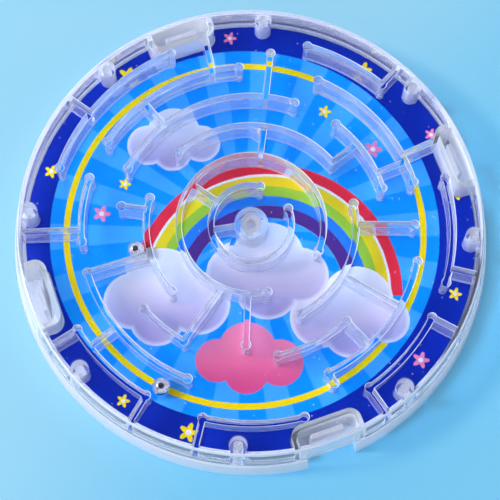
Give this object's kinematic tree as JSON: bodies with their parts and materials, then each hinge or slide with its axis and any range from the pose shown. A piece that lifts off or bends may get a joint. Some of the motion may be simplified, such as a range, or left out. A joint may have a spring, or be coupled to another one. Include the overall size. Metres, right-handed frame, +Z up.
{
  "type": "dexterity puzzle",
  "caption": "Round clear tilt maze: a shell of ring walls over a printed card, pinned to a flat base pan, with loose steel balls that roll along its lanes.",
  "frame": {"origin": "middle of the flat underside, on the surface it rests on", "axes": "+Z up through the disc, +X to the right and +Y away from a viewer at the front"},
  "size_m": [0.134, 0.134, 0.0166],
  "materials": {
    "clear_shell": "clear, polished moulding",
    "clear_base": "clear, polished moulding",
    "printed_card": "gloss print on card",
    "ball_steel": "polished bearing steel"
  },
  "bodies": {
    "case": {"base_floor": "clear_base", "base_skirt": "clear_base", "rim_pins": "clear_base", "centre_pin": "clear_base", "clips": "clear_base", "card": "printed_card", "rim_right": "clear_shell", "rim_back": "clear_shell", "rim_left": "clear_shell", "rim_front": "clear_shell", "bay_right": "clear_shell", "bay_back": "clear_shell", "bay_left": "clear_shell", "bay_front": "clear_shell", "rim_tubes": "clear_shell", "centre_tube": "clear_shell", "top_plate": "clear_shell", "wall_a1": "clear_shell", "wall_a2": "clear_shell", "wall_a3": "clear_shell", "wall_a4": "clear_shell", "wall_a5": "clear_shell", "wall_a6": "clear_shell", "wall_b1": "clear_shell", "wall_b2": "clear_shell", "wall_b3": "clear_shell", "wall_b4": "clear_shell", "wall_b5": "clear_shell", "wall_c1": "clear_shell", "wall_c2": "clear_shell", "wall_c3": "clear_shell", "wall_c4": "clear_shell", "wall_d1": "clear_shell", "wall_d2": "clear_shell", "wall_d3": "clear_shell", "wall_e1": "clear_shell", "wall_f1": "clear_shell"},
    "first_ball": {"ball_1": "ball_steel"},
    "second_ball": {"ball_2": "ball_steel"}
  },
  "joints": [
    {"name": "first_ball_roll", "type": "hinge", "parent": "case", "child": "first_ball", "pos_m": [0, 0, 0.01], "axis": [0, 0, 1], "range_deg": [-12.2, 0.5]},
    {"name": "second_ball_roll", "type": "hinge", "parent": "case", "child": "second_ball", "pos_m": [0, 0, 0.01], "axis": [0, 0, 1], "range_deg": [-18.3, 50.3]}
  ]
}
